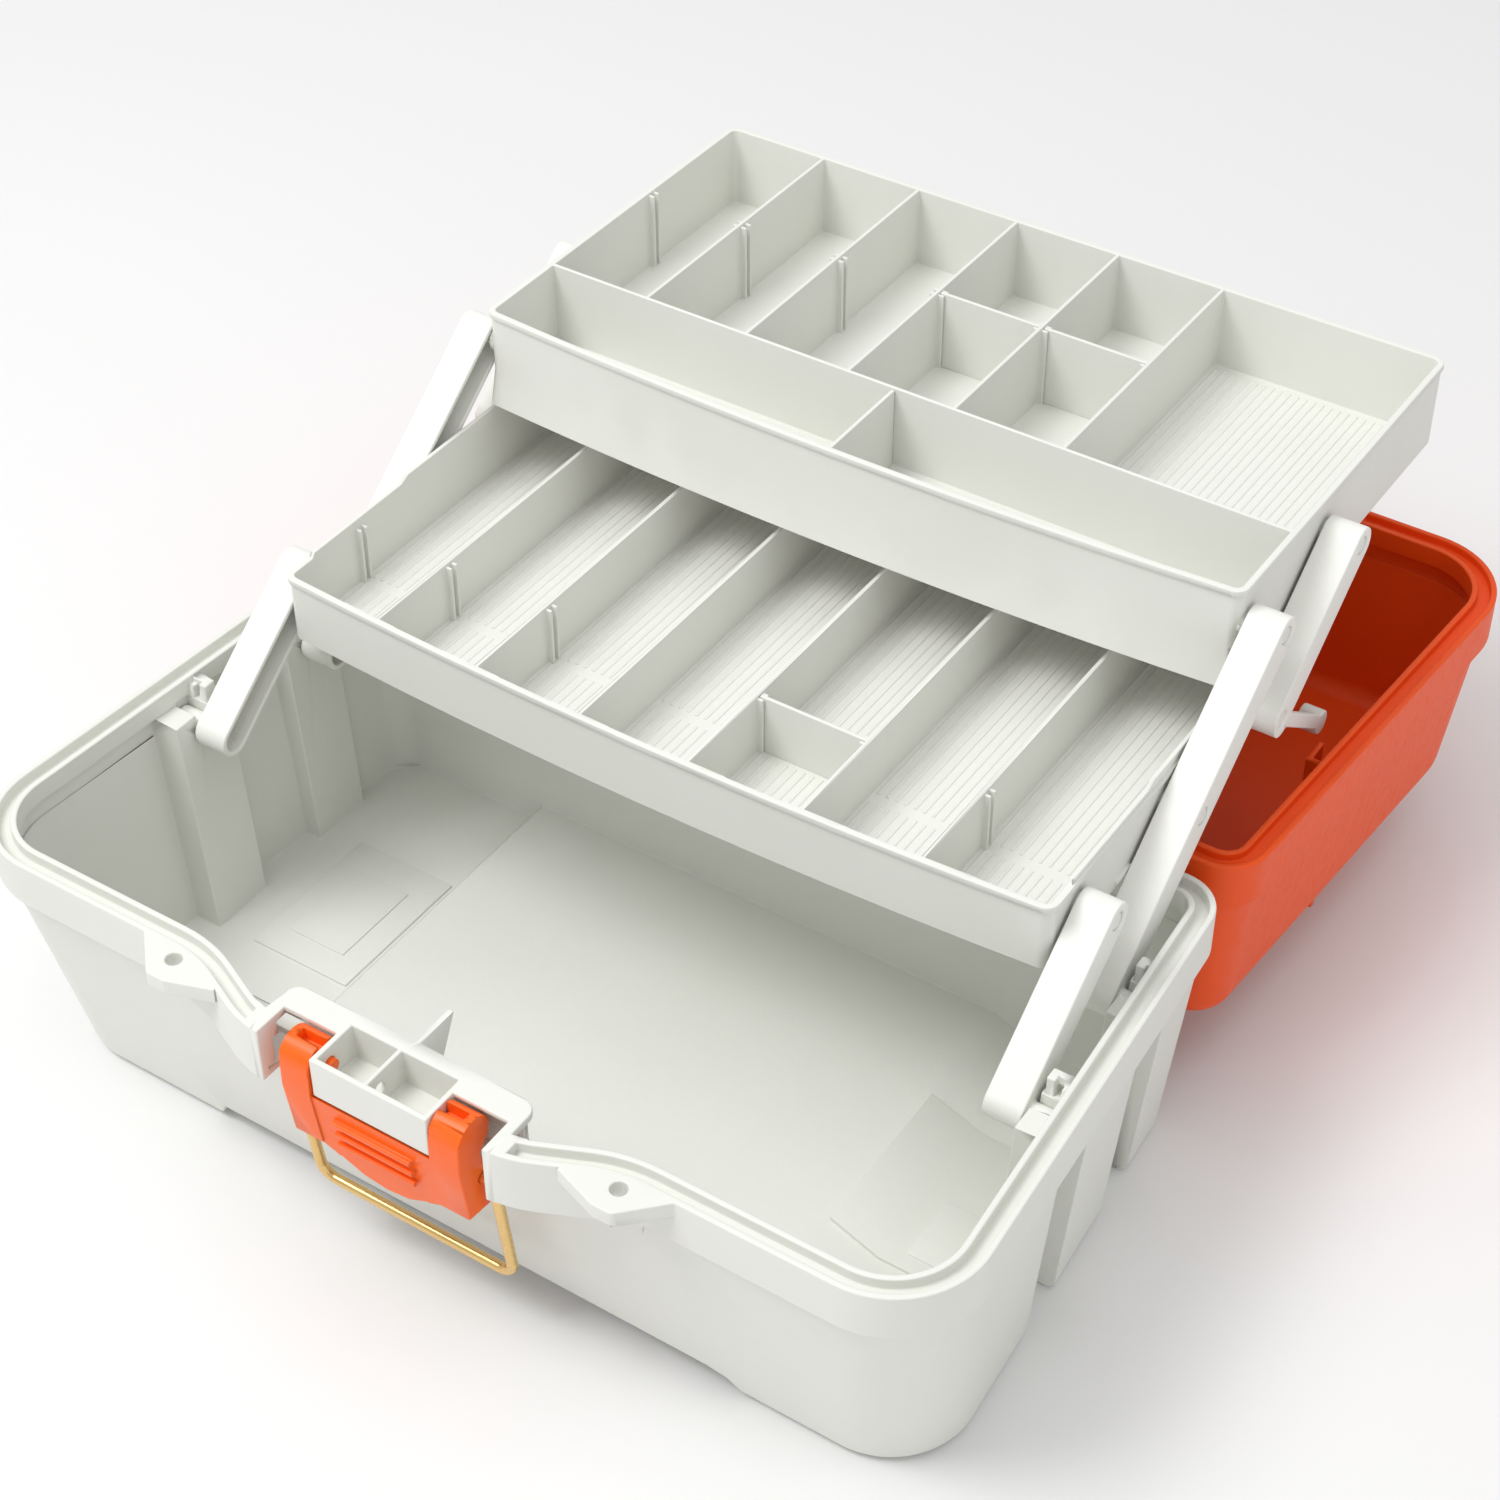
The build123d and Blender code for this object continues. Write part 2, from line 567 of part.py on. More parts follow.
def lower_tray():
    tray = tray_body(LOWER_FRONT_Y, LOWER_BOTTOM_Z, LOWER_RIM_Z)
    z0, z1 = LOWER_BOTTOM_Z + 0.5, LOWER_RIM_Z - 0.8
    back = LOWER_FRONT_Y + TRAY_DEPTH
    for x in LOWER_WALLS:
        near = tray_bow(LOWER_FRONT_Y, x) + 0.8
        tray += box(x - DIVIDER_T / 2, x + DIVIDER_T / 2, near, back - 0.8, z0, z1)
    left = -TRAY_HALF + TRAY_WALL
    for wall in (left, LOWER_WALLS[0], LOWER_WALLS[1], LOWER_WALLS[3], LOWER_WALLS[5]):
        offset_x = 0 if wall == left else 0.5 * DIVIDER_T
        tray += slot_ribs(wall + offset_x, LOWER_CROSS_Y, z0, z1 - 1, 1)
    tray += slot_ribs(LOWER_WALLS[4] - 0.5 * DIVIDER_T, LOWER_CROSS_Y, z0, z1 - 1, -1)
    hump = side_profile(
        [
            (LOWER_FRONT_Y + 12, LOWER_RIM_Z - 1),
            (LOWER_FRONT_Y + 14, LOWER_RIM_Z + 1.8),
            (LOWER_FRONT_Y + 62, LOWER_RIM_Z + 1.8),
            (LOWER_FRONT_Y + 66, LOWER_RIM_Z + 3.7),
            (back - 30, LOWER_RIM_Z + 3.7),
            (back - 26, LOWER_RIM_Z - 1),
        ],
        TRAY_HALF - TRAY_WALL,
        TRAY_HALF,
    )
    clip = box(TRAY_HALF - 0.5, TRAY_HALF + 1.0, CLIP_Y - 5, CLIP_Y + 5, CLIP_Z - 1, CLIP_Z + 1)
    return tray + both_sides(hump + clip) + studs((LOWER_FRONT, LOWER_MID, LOWER_REAR))


# ---- links ----------------------------------------------------------------------------
def link_bar(start, end, radius, x0, x1):
    """A round-ended bar between two pivots, given a width along X."""
    (y0, z0), (y1, z1) = start, end
    length = ((y1 - y0) ** 2 + (z1 - z0) ** 2) ** 0.5
    along = Vector(0, (y1 - y0) / length, (z1 - z0) / length)
    plane = Plane(origin=(x0, (y0 + y1) / 2, (z0 + z1) / 2), x_dir=along, z_dir=(1, 0, 0))
    return extrude(plane * SlotCenterToCenter(length, 2 * radius), x1 - x0)


def channel(start, end):
    """A U-channel link, open towards the trays."""
    bar = link_bar(start, end, ARM_H / 2, ARM_IN, ARM_OUT)
    return bar - link_bar(start, end, ARM_H / 2 - ARM_SKIN, ARM_IN - 1, ARM_OUT - ARM_SKIN)


def stud_hole(point, gap):
    return rod(ARM_IN - 1, ARM_OUT + 1, point[0], point[1], STUD_R + gap)


def base_pin(point):
    """The pin at a link's lower end that snaps into a socket on the tub."""
    return rod(ARM_OUT - ARM_SKIN, ARM_PIN_END, point[0], point[1], ARM_PIN_R)


def front_arm():
    return channel(BASE_FRONT, LOWER_FRONT) + base_pin(BASE_FRONT) - stud_hole(LOWER_FRONT, OPEN_GAP)


def long_arm(gap):
    arm = channel(BASE_REAR, UPPER_FRONT) + base_pin(BASE_REAR)
    return arm - stud_hole(LOWER_MID, gap) - stud_hole(UPPER_FRONT, gap)


def upper_arm():
    """The link between the trays, with the foot that the lid's rib pushes."""
    tip = (
        LOWER_REAR[0] + FOOT_LENGTH * cos(radians(FOOT_ANGLE)),
        LOWER_REAR[1] + FOOT_LENGTH * sin(radians(FOOT_ANGLE)),
    )
    arm = channel(LOWER_REAR, UPPER_REAR)
    foot = link_bar(LOWER_REAR, tip, 2.6, ARM_OUT - 3, ARM_OUT)
    foot += rod(ARM_OUT - 8, ARM_OUT, tip[0], tip[1], FOOT_R)
    foot += link_bar(LOWER_REAR, tip, 1.0, ARM_OUT - 8, ARM_OUT)
    inside = link_bar(LOWER_REAR, UPPER_REAR, ARM_H / 2 - ARM_SKIN, ARM_IN - 1, ARM_OUT - ARM_SKIN)
    return arm + (foot - inside) - stud_hole(LOWER_REAR, RUN_GAP) - stud_hole(UPPER_REAR, OPEN_GAP)


# ---- latch ----------------------------------------------------------------------------
def latch_lever():
    """A U-shaped lever: two hooked cheeks, a thumb panel with three ridges, and two pins."""
    front = LEVER_Y - PANEL_OUT
    foot = front + LEVER_LEAN * (LEVER_Z - CHEEK_FOOT_Z)
    cheek = side_profile(
        [
            (LEVER_Y - LEVER_HEAD_R, LEVER_Z),
            (front + LEVER_LEAN * (LEVER_Z - 87), 87),
            (foot, CHEEK_FOOT_Z),
            (LEVER_Y + 6.5, CHEEK_FOOT_Z - 1.5),
            (LEVER_Y + 9, CHEEK_FOOT_Z + 1.5),
            (LEVER_Y + 2.6, 88),
            (LEVER_Y + LEVER_HEAD_R - 0.4, LEVER_Z - 1),
        ],
        CHEEK_IN,
        CHEEK_OUT,
    )
    cheek += rod(CHEEK_IN, CHEEK_OUT, LEVER_Y, LEVER_Z, LEVER_HEAD_R)
    cheek -= box(CHEEK_IN - 1, CHEEK_OUT - 2.5, LEVER_Y - 1.5, LEVER_Y + 2.5, LEVER_Z + 2.8, LEVER_Z + 12)
    cheek += rod(18.5, CHEEK_IN + 2, LEVER_Y, LEVER_Z, LEVER_PIN_R)
    cheek -= rod(CHEEK_IN + 5, CHEEK_OUT + 1, BAIL_Y, BAIL_Z, BAIL_R + RUN_GAP)
    outline = [(-CHEEK_IN - 1, PANEL_TOP), (-CHEEK_IN - 1, 64), (-17, 60.5), (-9, 56), (0, 54.5)]
    mirrored = [(-x, z) for x, z in reversed(outline[:-1])]

    def leaning(proud, thick):
        """A slab that leans with the cheeks' front edge, across the middle of the lever."""
        y0 = front - proud
        top, low = LEVER_Z + 10, LEVER_Z - 60
        shift_top, shift_low = LEVER_LEAN * (LEVER_Z - top), LEVER_LEAN * (LEVER_Z - low)
        points = [
            (y0 + shift_top, top),
            (y0 + shift_low, low),
            (y0 + shift_low + thick, low),
            (y0 + shift_top + thick, top),
        ]
        return side_profile(points, -CHEEK_IN - 2, CHEEK_IN + 2)

    panel = front_profile(outline + mirrored, LEVER_Y - 30, LEVER_Y + 20) & leaning(-PANEL_SET_BACK, 3)
    panel -= rod(-CHEEK_IN, CHEEK_IN, LEVER_Y, LEVER_Z, PANEL_CLEAR_R)
    ridges = None
    for i in range(3):
        z = 80.5 - 5.2 * i
        ridge = box(-15, 15, LEVER_Y - 30, LEVER_Y + 20, z - 1.1, z + 1.1) & leaning(RIDGE_OUT, 3)
        ridges = ridge if ridges is None else ridges + ridge
    return both_sides(cheek) + panel + ridges


def latch_bail():
    """The brass wire loop, hanging from the lever's cheeks."""
    lean = radians(BAIL_LEAN)
    low = (BAIL_Y + BAIL_DROP * sin(lean), BAIL_Z - BAIL_DROP * cos(lean))
    points = [
        (-CHEEK_IN - 6, BAIL_Y, BAIL_Z),
        (-BAIL_HALF, BAIL_Y, BAIL_Z),
        (-BAIL_HALF, *low),
        (BAIL_HALF, *low),
        (BAIL_HALF, BAIL_Y, BAIL_Z),
        (CHEEK_IN + 6, BAIL_Y, BAIL_Z),
    ]
    path = FilletPolyline(*points, radius=(BAIL_TIGHT, BAIL_BEND, BAIL_BEND, BAIL_TIGHT))
    start = Plane(origin=points[0], z_dir=(-1, 0, 0))
    return sweep(start * Circle(BAIL_R), path=path)


# ---- write the parts ------------------------------------------------------------------
def loose_dividers():
    """Every loose cross divider, by node name."""
    z0, z1 = UPPER_BOTTOM_Z + TRAY_WALL, UPPER_RIM_Z - 0.6
    half = DIVIDER_T / 2
    pieces = {}
    for number, i in ((1, 2), (2, 3)):
        x0, x1 = UPPER_WALLS[i] + half, UPPER_WALLS[i + 1] - half
        pieces[f"upper_divider_{number}"] = cross_divider(x0, x1, UPPER_CROSS_Y, z0, z1)
    near = tray_bow(UPPER_FRONT_Y, FRONT_DIVIDER_X) + TRAY_WALL + 0.25
    pieces["upper_divider_3"] = box(
        FRONT_DIVIDER_X - half, FRONT_DIVIDER_X + half, near, UPPER_SPLIT_Y - 0.25, z0, z1
    )
    x0, x1 = LOWER_WALLS[3] + half, LOWER_WALLS[4] - half
    low, high = LOWER_BOTTOM_Z + TRAY_WALL, LOWER_RIM_Z - 1.4
    pieces["lower_divider_1"] = cross_divider(x0, x1, LOWER_CROSS_Y, low, high)
    return pieces


def left(piece):
    return mirror(piece, about=Plane.YZ)


PARTS = {
    "base_tub": base_tub() + tub_knuckles(),
    "lid_shell": lid_shell(),
    "hinge_pin_left": hinge_pin(-HINGE_X),
    "hinge_pin_right": hinge_pin(HINGE_X),
    "carry_handle": carry_handle(),
    "upper_tray": upper_tray(),
    "lower_tray": lower_tray(),
    **loose_dividers(),
    "front_arm_left": left(front_arm()),
    "front_arm_right": front_arm(),
    "long_arm_left": left(long_arm(RUN_GAP)),
    "long_arm_right": long_arm(OPEN_GAP),
    "upper_arm_left": left(upper_arm()),
    "upper_arm_right": upper_arm(),
    "latch_lever": latch_lever(),
    "latch_bail": latch_bail(),
}

os.makedirs("parts", exist_ok=True)
for node, piece in PARTS.items():
    export_step(piece, f"parts/{node}.step")
    print(node, round(piece.volume / 1000, 2), "cm3", len(piece.solids()), "solid")
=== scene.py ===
# %% [markdown]
# # A two-tray tackle box
# The box stands open: the lid lies behind the tub and two trays hang out over it on parallel
# arms.  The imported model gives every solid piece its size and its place.  This lesson gives
# those pieces soft moulded edges, adds the ribs that the moulds leave, and mixes the plastics
# and the metals.  Everything is in metres, with X along the box, Y to the back and Z up.

import bmesh
import bpy
import numpy as np
from math import cos, pi, radians, sin
from mathutils import Matrix, Vector


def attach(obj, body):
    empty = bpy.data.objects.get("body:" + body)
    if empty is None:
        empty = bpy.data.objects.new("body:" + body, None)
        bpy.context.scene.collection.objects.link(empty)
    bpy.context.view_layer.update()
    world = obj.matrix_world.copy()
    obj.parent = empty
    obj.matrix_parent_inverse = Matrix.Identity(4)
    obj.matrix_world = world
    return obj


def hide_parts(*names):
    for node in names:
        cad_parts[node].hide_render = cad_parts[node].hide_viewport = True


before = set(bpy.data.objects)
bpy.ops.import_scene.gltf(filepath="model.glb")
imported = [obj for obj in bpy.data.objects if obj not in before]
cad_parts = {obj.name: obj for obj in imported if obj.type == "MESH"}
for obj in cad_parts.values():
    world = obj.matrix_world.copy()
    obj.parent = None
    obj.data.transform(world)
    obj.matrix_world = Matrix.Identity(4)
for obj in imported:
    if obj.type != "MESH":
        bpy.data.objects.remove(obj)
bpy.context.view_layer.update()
MM = 0.001

# %% [markdown]
# ## The camera, the floor and the light
# The box is seen from above its front right corner.  The camera's turn is built from three
# directions, because that keeps its small roll exact.  The light is a pale world and three
# large lamps, since satin plastic shows its form only in broad, soft highlights.

# %% The camera
CAMERA_PLACE = Vector((0.4319, -0.6617, 0.7637))
CAMERA_TURN = radians(33.6323)
CAMERA_DIP = radians(40.9162)
CAMERA_ROLL = radians(0.2175)
CAMERA_LENS = 71.45
SENSOR_WIDTH = 36.0

forward = Vector(
    (
        -sin(CAMERA_TURN) * cos(CAMERA_DIP),
        cos(CAMERA_TURN) * cos(CAMERA_DIP),
        -sin(CAMERA_DIP),
    )
)
level = Vector((cos(CAMERA_TURN), sin(CAMERA_TURN), 0.0))
down = forward.cross(level)
across = level * cos(CAMERA_ROLL) + down * sin(CAMERA_ROLL)
upward = level * sin(CAMERA_ROLL) - down * cos(CAMERA_ROLL)
camera_data = bpy.data.cameras.new("camera")
camera_data.lens = CAMERA_LENS
camera_data.sensor_width = SENSOR_WIDTH
camera = bpy.data.objects.new("camera", camera_data)
turn = Matrix((across, upward, -forward)).transposed().to_4x4()
camera.matrix_world = Matrix.Translation(CAMERA_PLACE) @ turn
bpy.context.scene.collection.objects.link(camera)
bpy.context.scene.camera = camera
print("camera looks along", tuple(round(v, 3) for v in forward))


# %% The floor, the world and the lamps
def add_mesh(name, points, faces):
    """A mesh object at the origin, made from points and faces."""
    mesh = bpy.data.meshes.new(name)
    mesh.from_pydata([tuple(p) for p in points], [], faces)
    mesh.update()
    obj = bpy.data.objects.new(name, mesh)
    bpy.context.scene.collection.objects.link(obj)
    return obj


def plain_material(name, colour, roughness):
    """A material with one even colour, for what isn't part of the object."""
    material = bpy.data.materials.new(name)
    material.use_nodes = True
    shader = material.node_tree.nodes["Principled BSDF"]
    shader.inputs["Base Color"].default_value = (*colour, 1.0)
    shader.inputs["Roughness"].default_value = roughness
    return material


FLOOR_HALF = 6.0
FLOOR_Z = -0.0004
FLOOR_GREY = (0.82, 0.82, 0.82)
FLOOR_ROUGHNESS = 0.9
corner_signs = [(-1, -1), (1, -1), (1, 1), (-1, 1)]
floor_points = [(x * FLOOR_HALF, y * FLOOR_HALF, FLOOR_Z) for x, y in corner_signs]
floor = add_mesh("floor", floor_points, [(0, 1, 2, 3)])
floor.data.materials.append(plain_material("pale_floor", FLOOR_GREY, FLOOR_ROUGHNESS))

WORLD_STRENGTH = 0.64
world = bpy.data.worlds.new("studio")
world.use_nodes = True
background = world.node_tree.nodes["Background"]
background.inputs["Color"].default_value = (1.0, 1.0, 1.0, 1.0)
background.inputs["Strength"].default_value = WORLD_STRENGTH
bpy.context.scene.world = world
bpy.context.scene.view_settings.view_transform = "Standard"


LAMP_TARGET = Vector((0.0, 0.0, 0.05))


def add_lamp(name, place, size, power):
    """A square soft lamp at place that points at the box."""
    data = bpy.data.lights.new(name, "AREA")
    data.size = size
    data.energy = power
    lamp = bpy.data.objects.new(name, data)
    aim = LAMP_TARGET - Vector(place)
    aim_turn = aim.to_track_quat("-Z", "Y").to_matrix().to_4x4()
    lamp.matrix_world = Matrix.Translation(place) @ aim_turn
    bpy.context.scene.collection.objects.link(lamp)
    return lamp


add_lamp("lamp_key", (-0.7, -0.9, 1.9), size=0.9, power=24)
add_lamp("lamp_over", (0.3, -0.1, 2.2), size=1.6, power=9)
add_lamp("lamp_fill", (1.5, -1.2, 0.7), size=1.2, power=1.5)

# %% [markdown]
# ## Effects that several materials share
# Every moulded piece shows the same three things at different strengths: a fine spark-eroded
# grain, a slow drift of tone where the plastic cooled unevenly, and a rubbed, slightly
# lighter or darker film.  A node group holds each effect once, with its sizes as inputs, and
# each material places it with its own values.


# %% A helper that writes a node group
def new_group(name, inputs, outputs):
    """A shader node group with named sockets, and its input and output nodes."""
    tree = bpy.data.node_groups.new(name, "ShaderNodeTree")
    for label, kind, value in inputs:
        socket = tree.interface.new_socket(name=label, in_out="INPUT", socket_type=kind)
        if value is not None:
            socket.default_value = value
    for label, kind in outputs:
        tree.interface.new_socket(name=label, in_out="OUTPUT", socket_type=kind)
    return tree, tree.nodes.new("NodeGroupInput"), tree.nodes.new("NodeGroupOutput")


def add_node(tree, kind, **settings):
    """A node of that kind: its properties by name, and its sockets' values in a dict."""
    node = tree.nodes.new(kind)
    sockets = settings.pop("sockets", {})
    for key, value in settings.items():
        setattr(node, key, value)
    for key, value in sockets.items():
        node.inputs[key].default_value = value
    return node


FLOAT = "NodeSocketFloat"
COLOUR = "NodeSocketColor"


# %% Moulded grain
def build_grain_group():
    """Height of a spark-eroded skin: two sizes of noise added together."""
    tree, given, out = new_group(
        "moulded_grain",
        [("Grain size", FLOAT, 900.0), ("Ripple size", FLOAT, 40.0), ("Ripple share", FLOAT, 0.3)],
        [("Height", FLOAT)],
    )
    coords = add_node(tree, "ShaderNodeTexCoord")
    fine = add_node(tree, "ShaderNodeTexNoise", sockets={"Detail": 2.0, "Roughness": 0.6})
    slow = add_node(tree, "ShaderNodeTexNoise", sockets={"Detail": 1.0, "Roughness": 0.4})
    share = add_node(tree, "ShaderNodeMath", operation="MULTIPLY")
    total = add_node(tree, "ShaderNodeMath", operation="ADD")
    link = tree.links.new
    link(coords.outputs["Object"], fine.inputs["Vector"])
    link(coords.outputs["Object"], slow.inputs["Vector"])
    link(given.outputs["Grain size"], fine.inputs["Scale"])
    link(given.outputs["Ripple size"], slow.inputs["Scale"])
    link(slow.outputs["Fac"], share.inputs[0])
    link(given.outputs["Ripple share"], share.inputs[1])
    link(fine.outputs["Fac"], total.inputs[0])
    link(share.outputs[0], total.inputs[1])
    link(total.outputs[0], out.inputs["Height"])
    return tree


grain_group = build_grain_group()
print("group:", grain_group.name)


# %% Slow drift of tone
def build_drift_group():
    """A colour that drifts between two close tones, and a mask of the same drift."""
    tree, given, out = new_group(
        "tone_drift",
        [
            ("Colour", COLOUR, (0.8, 0.8, 0.8, 1.0)),
            ("Drifted", COLOUR, (0.75, 0.75, 0.75, 1.0)),
            ("Size", FLOAT, 9.0),
            ("Amount", FLOAT, 0.6),
        ],
        [("Colour", COLOUR), ("Mask", FLOAT)],
    )
    coords = add_node(tree, "ShaderNodeTexCoord")
    cloud = add_node(tree, "ShaderNodeTexNoise", sockets={"Detail": 4.0, "Roughness": 0.55})
    spread = add_node(
        tree,
        "ShaderNodeMapRange",
        sockets={"From Min": 0.35, "From Max": 0.68, "To Min": 0.0, "To Max": 1.0},
    )
    amount = add_node(tree, "ShaderNodeMath", operation="MULTIPLY")
    mix = add_node(tree, "ShaderNodeMix", data_type="RGBA")
    link = tree.links.new
    link(coords.outputs["Object"], cloud.inputs["Vector"])
    link(given.outputs["Size"], cloud.inputs["Scale"])
    link(cloud.outputs["Fac"], spread.inputs["Value"])
    link(spread.outputs["Result"], amount.inputs[0])
    link(given.outputs["Amount"], amount.inputs[1])
    link(amount.outputs[0], mix.inputs[0])
    link(given.outputs["Colour"], mix.inputs[6])
    link(given.outputs["Drifted"], mix.inputs[7])
    link(mix.outputs[2], out.inputs["Colour"])
    link(spread.outputs["Result"], out.inputs["Mask"])
    return tree


drift_group = build_drift_group()
print("group:", drift_group.name)


# %% Fine scuffs
def build_scuff_group():
    """Thin, sparse scuffs: stretched noise cut off high, and the roughness that they leave."""
    tree, given, out = new_group(
        "fine_scuffs",
        [
            ("Scale", FLOAT, 60.0),
            ("Coverage", FLOAT, 0.3),
            ("Base roughness", FLOAT, 0.42),
            ("Scuffed roughness", FLOAT, 0.55),
        ],
        [("Roughness", FLOAT), ("Mask", FLOAT)],
    )
    coords = add_node(tree, "ShaderNodeTexCoord")
    turn_node = add_node(tree, "ShaderNodeMapping")
    turn_node.inputs["Rotation"].default_value = (0.3, 0.2, 0.6)
    turn_node.inputs["Scale"].default_value = (1.0, 5.0, 3.0)
    streak = add_node(tree, "ShaderNodeTexNoise", sockets={"Detail": 5.0, "Roughness": 0.6})
    low = add_node(tree, "ShaderNodeMath", operation="SUBTRACT")
    low.inputs[0].default_value = 0.75
    cut = add_node(tree, "ShaderNodeMapRange", sockets={"From Max": 0.8})
    rough = add_node(tree, "ShaderNodeMapRange")
    link = tree.links.new
    link(coords.outputs["Object"], turn_node.inputs["Vector"])
    link(turn_node.outputs["Vector"], streak.inputs["Vector"])
    link(given.outputs["Scale"], streak.inputs["Scale"])
    link(given.outputs["Coverage"], low.inputs[1])
    link(streak.outputs["Fac"], cut.inputs["Value"])
    link(low.outputs[0], cut.inputs["From Min"])
    link(cut.outputs["Result"], rough.inputs["Value"])
    link(given.outputs["Base roughness"], rough.inputs["To Min"])
    link(given.outputs["Scuffed roughness"], rough.inputs["To Max"])
    link(rough.outputs["Result"], out.inputs["Roughness"])
    link(cut.outputs["Result"], out.inputs["Mask"])
    return tree


scuff_group = build_scuff_group()
print("group:", scuff_group.name)

# %% [markdown]
# ## The plastics
# Boxes like this are usually moulded in a satin plastic such as polypropylene.  The tub and
# the trays are a warm, light grey that is nearly white, and the lid and the latch are orange.
# The shader gets a middling roughness that the scuffs vary, and a bump from the grain.
# Colours that differ a little from piece to piece make the parts read as separate mouldings.


# %% A moulded plastic
PLASTIC_IOR = 1.49
PLASTIC_SPECULAR = 0.35
GRAIN_DEPTH = 0.0006
SATIN = (0.42, 0.56)
GLOSSY = (0.30, 0.42)


def moulded_plastic(name, colour, drifted, drift_size, rough=SATIN, grain=(900.0, 0.06)):
    """A plastic: drifting tone, scuffed roughness, and grain as a (size, strength) pair."""
    material = bpy.data.materials.new(name)
    material.use_nodes = True
    tree = material.node_tree
    shader = tree.nodes["Principled BSDF"]
    shader.inputs["IOR"].default_value = PLASTIC_IOR
    shader.inputs["Specular IOR Level"].default_value = PLASTIC_SPECULAR
    drift = add_node(tree, "ShaderNodeGroup", node_tree=drift_group)
    drift.inputs["Colour"].default_value = (*colour, 1.0)
    drift.inputs["Drifted"].default_value = (*drifted, 1.0)
    drift.inputs["Size"].default_value = drift_size
    drift.inputs["Amount"].default_value = 0.6
    scuff = add_node(tree, "ShaderNodeGroup", node_tree=scuff_group)
    scuff.inputs["Base roughness"].default_value = rough[0]
    scuff.inputs["Scuffed roughness"].default_value = rough[1]
    skin = add_node(tree, "ShaderNodeGroup", node_tree=grain_group)
    skin.inputs["Grain size"].default_value = grain[0]
    bump = add_node(tree, "ShaderNodeBump", sockets={"Strength": grain[1], "Distance": GRAIN_DEPTH})
    link = tree.links.new
    link(drift.outputs["Colour"], shader.inputs["Base Color"])
    link(scuff.outputs["Roughness"], shader.inputs["Roughness"])
    link(skin.outputs["Height"], bump.inputs["Height"])
    link(bump.outputs["Normal"], shader.inputs["Normal"])
    return material


PALE = (0.775, 0.78, 0.735)
PALE_DRIFTED = (0.74, 0.745, 0.69)
finishes = {}
for finish, colour, drifted, drift_size, options in (
    ("tub_plastic", PALE, PALE_DRIFTED, 9.0, {"grain": (1100.0, 0.1)}),
    ("tray_plastic", (0.785, 0.79, 0.745), (0.75, 0.755, 0.705), 14.0, {}),
    ("arm_plastic", (0.83, 0.835, 0.79), (0.80, 0.80, 0.755), 22.0, {}),
    ("lid_plastic", (0.88, 0.088, 0.006), (0.82, 0.076, 0.004), 9.0, {}),
    (
        "latch_plastic",
        (0.97, 0.135, 0.008),
        (0.92, 0.12, 0.006),
        26.0,
        {"rough": GLOSSY, "grain": (900.0, 0.03)},
    ),
    ("handle_plastic", PALE, PALE_DRIFTED, 20.0, {}),
):
    finishes[finish] = moulded_plastic(finish, colour, drifted, drift_size, **options)
print("plastics:", sorted(finishes))

# %% [markdown]
# ## The metals
# The latch's bail is brass-plated wire and the hinge pins are drawn steel.  Drawn wire is
# streaked along its length and a little tarnished, so the same drift and scuff groups feed a
# metallic shader.


# %% A drawn metal wire
WIRE_SCUFF = 0.2


def drawn_wire(name, colour, tarnish, rough):
    """A metal with a drifting tarnish and scuffed roughness."""
    material = bpy.data.materials.new(name)
    material.use_nodes = True
    tree = material.node_tree
    shader = tree.nodes["Principled BSDF"]
    shader.inputs["Metallic"].default_value = 1.0
    drift = add_node(tree, "ShaderNodeGroup", node_tree=drift_group)
    drift.inputs["Colour"].default_value = (*colour, 1.0)
    drift.inputs["Drifted"].default_value = (*tarnish, 1.0)
    drift.inputs["Size"].default_value = 30.0
    drift.inputs["Amount"].default_value = 0.4
    scuff = add_node(tree, "ShaderNodeGroup", node_tree=scuff_group)
    scuff.inputs["Scale"].default_value = 60.0
    scuff.inputs["Base roughness"].default_value = rough
    scuff.inputs["Scuffed roughness"].default_value = rough + WIRE_SCUFF
    tree.links.new(drift.outputs["Colour"], shader.inputs["Base Color"])
    tree.links.new(scuff.outputs["Roughness"], shader.inputs["Roughness"])
    return material


for finish, colour, tarnish, rough in (
    ("brass_wire", (0.80, 0.56, 0.24), (0.68, 0.46, 0.18), 0.26),
    ("steel_pin", (0.62, 0.61, 0.60), (0.48, 0.47, 0.46), 0.32),
):
    finishes[finish] = drawn_wire(finish, colour, tarnish, rough)
print("finishes:", len(finishes))

# %% [markdown]
# ## Soft moulded edges
# A mould never leaves a knife edge: every rim and rib end on the real box is rounded by half a
# millimetre or so, and that thin rounding is what catches the light.  The solid pieces have
# sharp corners, so each one is copied, the corners of its loose triangles are merged, and a
# Bevel modifier rounds the sharp edges that have room for it.  The room is measured across the
# flat patches on both sides of an edge, because a bevel wider than a thin wall folds over.
# The copy then stands for the solid, in the same place and within the same box.

# %% A helper that softens a solid
FLAT = radians(0.6)
CORNER = radians(32)
JOIN = 5e-6
ROOM_SHARE = 2.3
NO_ROOM_SOUGHT = 1.0
SMALLEST_ROOM = 1e-6
PLACES_ALONG = (0.03, 0.25, 0.5, 0.75, 0.97)
KEEP_SHARP = radians(40)


def bake_modifiers(obj):
    """Turns an object's modifiers into plain mesh and takes them off."""
    graph = bpy.context.evaluated_depsgraph_get()
    mesh = bpy.data.meshes.new_from_object(obj.evaluated_get(graph))
    old = obj.data
    obj.modifiers.clear()
    obj.data = mesh
    bpy.data.meshes.remove(old)


